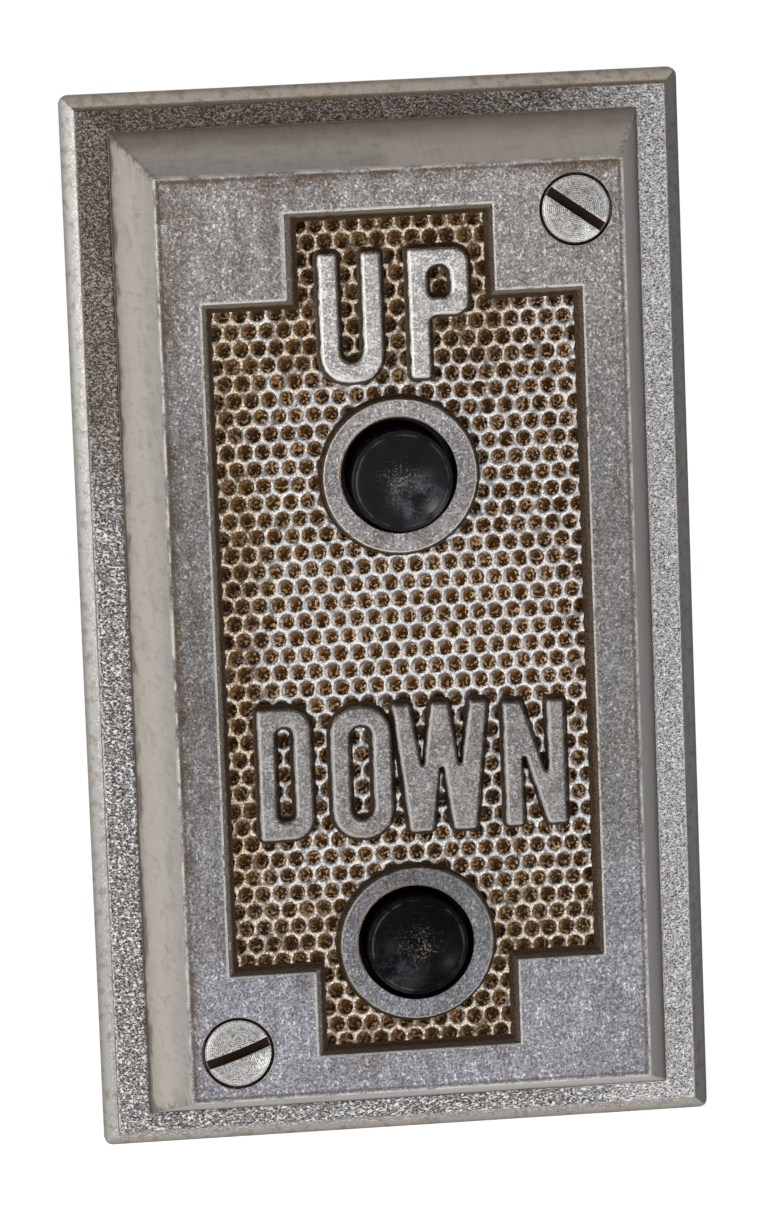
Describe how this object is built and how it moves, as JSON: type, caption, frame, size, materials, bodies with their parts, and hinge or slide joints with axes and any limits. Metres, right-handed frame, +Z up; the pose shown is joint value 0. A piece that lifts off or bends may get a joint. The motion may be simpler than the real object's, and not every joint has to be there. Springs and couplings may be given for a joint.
{
  "type": "elevator call button panel",
  "caption": "Wall-mounted call station: a hollow cast faceplate with a stepped dimpled recess and sprung push buttons that close contacts on a board behind the face.",
  "frame": {"origin": "on the wall plane, at the middle of the two wall screws and of the faceplate", "axes": "+X to the right of someone facing the panel, +Y into the wall, +Z up"},
  "size_m": [0.0782, 0.0376, 0.1348],
  "materials": {
    "cast_metal": "sandy cast white metal, worn",
    "screw_steel": "worn bright",
    "button_black": "scratched gloss",
    "brass": "turned, dull",
    "contact_bronze": "rolled, dull",
    "fibre": "pressed fibre",
    "board": "laminated board",
    "spring_steel": "drawn wire"
  },
  "bodies": {
    "panel": {"faceplate": "cast_metal", "plate_screws": "screw_steel", "contact_base": "board", "base_screws": "brass", "base_washers": "brass", "up_return_spring": "spring_steel", "up_guide_bush": "brass", "up_contact_posts": "brass", "up_terminal_washers": "brass", "up_terminal_nuts": "brass", "down_return_spring": "spring_steel", "down_guide_bush": "brass", "down_contact_posts": "brass", "down_terminal_washers": "brass", "down_terminal_nuts": "brass"},
    "up_push": {"up_button": "button_black", "up_plunger": "brass", "up_insulating_bush": "fibre", "up_contact_disc": "contact_bronze", "up_spring_washer": "fibre", "up_plunger_nut": "brass"},
    "down_push": {"down_button": "button_black", "down_plunger": "brass", "down_insulating_bush": "fibre", "down_contact_disc": "contact_bronze", "down_spring_washer": "fibre", "down_plunger_nut": "brass"}
  },
  "joints": [
    {"name": "up_press", "type": "slide", "parent": "panel", "child": "up_push", "axis": [0, 1, 0], "range_m": [0, 0.0025], "stiffness_N_per_m": 400, "springref_m": -0.004, "deforming": ["up_return_spring"]},
    {"name": "down_press", "type": "slide", "parent": "panel", "child": "down_push", "axis": [0, 1, 0], "range_m": [0, 0.0025], "stiffness_N_per_m": 400, "springref_m": -0.004, "deforming": ["down_return_spring"]}
  ]
}
